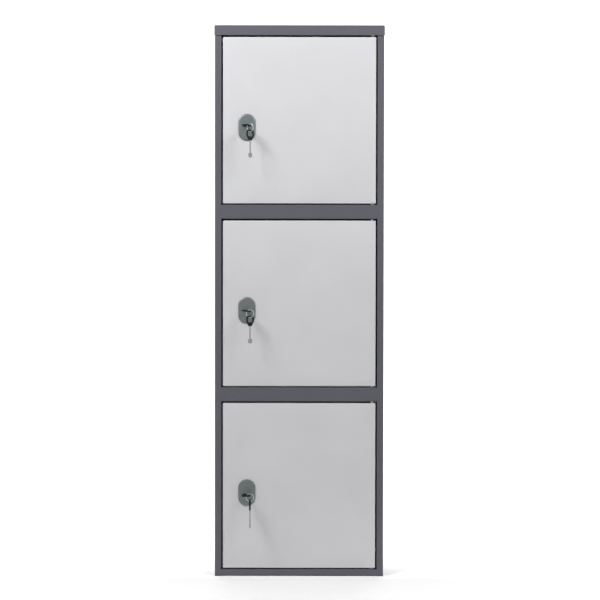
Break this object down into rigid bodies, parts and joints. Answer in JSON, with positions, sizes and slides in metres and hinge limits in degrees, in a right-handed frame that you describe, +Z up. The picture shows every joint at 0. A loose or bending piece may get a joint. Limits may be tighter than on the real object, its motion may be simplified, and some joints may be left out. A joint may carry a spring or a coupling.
{
  "type": "parcel locker",
  "caption": "Tall steel locker with stacked square doors hinged on the right, each with a bolt lock, its key, a split ring and a spare key.",
  "frame": {"origin": "on the floor, under the middle of the cabinet body", "axes": "+Z up, the doors face -Y, the hinges are at +X and the locks at -X"},
  "size_m": [0.46, 0.3907, 1.49],
  "materials": {
    "frame_paint": "graphite powder coat, satin",
    "door_paint": "light grey powder coat, satin",
    "satin_metal": "satin cast zinc, grey",
    "bright_steel": "bright plated steel",
    "key_steel": "plated key steel, slightly khaki",
    "zinc_steel": "zinc-plated sheet",
    "black_plastic": "black moulded plastic",
    "nylon": "natural nylon",
    "rubber": "black rubber"
  },
  "bodies": {
    "root": {"left_side_panel": "frame_paint", "right_side_panel": "frame_paint", "bottom_pan": "frame_paint", "lower_divider_shelf": "frame_paint", "upper_divider_shelf": "frame_paint", "back_panel": "frame_paint", "top_cover": "frame_paint", "lower_door_lower_hinge_bush": "nylon", "lower_door_upper_hinge_bush": "nylon", "lower_door_buffer": "rubber", "middle_door_lower_hinge_bush": "nylon", "middle_door_upper_hinge_bush": "nylon", "middle_door_buffer": "rubber", "upper_door_lower_hinge_bush": "nylon", "upper_door_upper_hinge_bush": "nylon", "upper_door_buffer": "rubber"},
    "lower_door": {"lower_door_panel": "door_paint", "lower_door_stiffener": "door_paint", "lower_door_lower_hinge_pin": "bright_steel", "lower_door_upper_hinge_pin": "bright_steel", "lower_lock_escutcheon": "satin_metal", "lower_lock_case": "zinc_steel"},
    "lower_rotor": {"lower_lock_rotor": "satin_metal"},
    "lower_bolt": {"lower_lock_bolt": "bright_steel"},
    "lower_key": {"lower_key_blade": "key_steel", "lower_key_bow": "black_plastic"},
    "lower_ring": {"lower_key_ring": "bright_steel"},
    "lower_spare_key": {"lower_spare_key_blade": "key_steel", "lower_spare_key_bow": "black_plastic"},
    "middle_door": {"middle_door_panel": "door_paint", "middle_door_stiffener": "door_paint", "middle_door_lower_hinge_pin": "bright_steel", "middle_door_upper_hinge_pin": "bright_steel", "middle_lock_escutcheon": "satin_metal", "middle_lock_case": "zinc_steel"},
    "middle_rotor": {"middle_lock_rotor": "satin_metal"},
    "middle_bolt": {"middle_lock_bolt": "bright_steel"},
    "middle_key": {"middle_key_blade": "key_steel", "middle_key_bow": "black_plastic"},
    "middle_ring": {"middle_key_ring": "bright_steel"},
    "middle_spare_key": {"middle_spare_key_blade": "key_steel", "middle_spare_key_bow": "black_plastic"},
    "upper_door": {"upper_door_panel": "door_paint", "upper_door_stiffener": "door_paint", "upper_door_lower_hinge_pin": "bright_steel", "upper_door_upper_hinge_pin": "bright_steel", "upper_lock_escutcheon": "satin_metal", "upper_lock_case": "zinc_steel"},
    "upper_rotor": {"upper_lock_rotor": "satin_metal"},
    "upper_bolt": {"upper_lock_bolt": "bright_steel"},
    "upper_key": {"upper_key_blade": "key_steel", "upper_key_bow": "black_plastic"},
    "upper_ring": {"upper_key_ring": "bright_steel"},
    "upper_spare_key": {"upper_spare_key_blade": "key_steel", "upper_spare_key_bow": "black_plastic"}
  },
  "joints": [
    {"name": "lower_door_hinge", "type": "hinge", "parent": "root", "child": "lower_door", "pos_m": [0.1975, -0.1595, 0.022], "axis": [0, 0, 1], "range_deg": [0, 105]},
    {"name": "lower_lock_turn", "type": "hinge", "parent": "lower_door", "child": "lower_rotor", "pos_m": [-0.1415, -0.1685, 0.227], "axis": [0, 1, 0], "range_deg": [0, 90]},
    {"name": "lower_bolt_slide", "type": "slide", "parent": "lower_door", "child": "lower_bolt", "axis": [-1, 0, 0], "range_m": [0, 0.013]},
    {"name": "lower_key_slide", "type": "slide", "parent": "lower_rotor", "child": "lower_key", "axis": [0, -1, 0], "range_m": [0, 0.045]},
    {"name": "lower_ring_swing", "type": "hinge", "parent": "lower_key", "child": "lower_ring", "pos_m": [-0.1313, -0.2087, 0.227], "axis": [0, 1, 0], "range_deg": [-90, 0]},
    {"name": "lower_spare_key_swing", "type": "hinge", "parent": "lower_ring", "child": "lower_spare_key", "pos_m": [-0.1313, -0.2087, 0.2106], "axis": [1, 0, 0], "range_deg": [-20, 20]},
    {"name": "middle_door_hinge", "type": "hinge", "parent": "root", "child": "middle_door", "pos_m": [0.1975, -0.1595, 0.516], "axis": [0, 0, 1], "range_deg": [0, 105]},
    {"name": "middle_lock_turn", "type": "hinge", "parent": "middle_door", "child": "middle_rotor", "pos_m": [-0.1415, -0.1685, 0.721], "axis": [0, 1, 0], "range_deg": [0, 90]},
    {"name": "middle_bolt_slide", "type": "slide", "parent": "middle_door", "child": "middle_bolt", "axis": [-1, 0, 0], "range_m": [0, 0.013]},
    {"name": "middle_key_slide", "type": "slide", "parent": "middle_rotor", "child": "middle_key", "axis": [0, -1, 0], "range_m": [0, 0.045]},
    {"name": "middle_ring_swing", "type": "hinge", "parent": "middle_key", "child": "middle_ring", "pos_m": [-0.13136, -0.2087, 0.71993], "axis": [0, 1, 0], "range_deg": [-90, 0]},
    {"name": "middle_spare_key_swing", "type": "hinge", "parent": "middle_ring", "child": "middle_spare_key", "pos_m": [-0.13136, -0.2087, 0.70353], "axis": [0.9848, -0.1736, 0], "range_deg": [-15, 15]},
    {"name": "upper_door_hinge", "type": "hinge", "parent": "root", "child": "upper_door", "pos_m": [0.1975, -0.1595, 1.01], "axis": [0, 0, 1], "range_deg": [0, 105]},
    {"name": "upper_lock_turn", "type": "hinge", "parent": "upper_door", "child": "upper_rotor", "pos_m": [-0.1415, -0.1685, 1.215], "axis": [0, 1, 0], "range_deg": [0, 90]},
    {"name": "upper_bolt_slide", "type": "slide", "parent": "upper_door", "child": "upper_bolt", "axis": [-1, 0, 0], "range_m": [0, 0.013]},
    {"name": "upper_key_slide", "type": "slide", "parent": "upper_rotor", "child": "upper_key", "axis": [0, -1, 0], "range_m": [0, 0.045]},
    {"name": "upper_ring_swing", "type": "hinge", "parent": "upper_key", "child": "upper_ring", "pos_m": [-0.1313, -0.2087, 1.215], "axis": [0, 1, 0], "range_deg": [-90, 0]},
    {"name": "upper_spare_key_swing", "type": "hinge", "parent": "upper_ring", "child": "upper_spare_key", "pos_m": [-0.1313, -0.2087, 1.1986], "axis": [0.8192, -0.5736, 0], "range_deg": [-20, 20]}
  ],
  "couplings": [
    {"joint": "lower_lock_turn", "follows": "lower_bolt_slide", "rad_per_m": 120.83},
    {"joint": "lower_ring_swing", "follows": "lower_bolt_slide", "rad_per_m": -120.83},
    {"joint": "middle_lock_turn", "follows": "middle_bolt_slide", "rad_per_m": 120.83},
    {"joint": "middle_ring_swing", "follows": "middle_bolt_slide", "rad_per_m": -120.83},
    {"joint": "upper_lock_turn", "follows": "upper_bolt_slide", "rad_per_m": 120.83},
    {"joint": "upper_ring_swing", "follows": "upper_bolt_slide", "rad_per_m": -120.83}
  ]
}
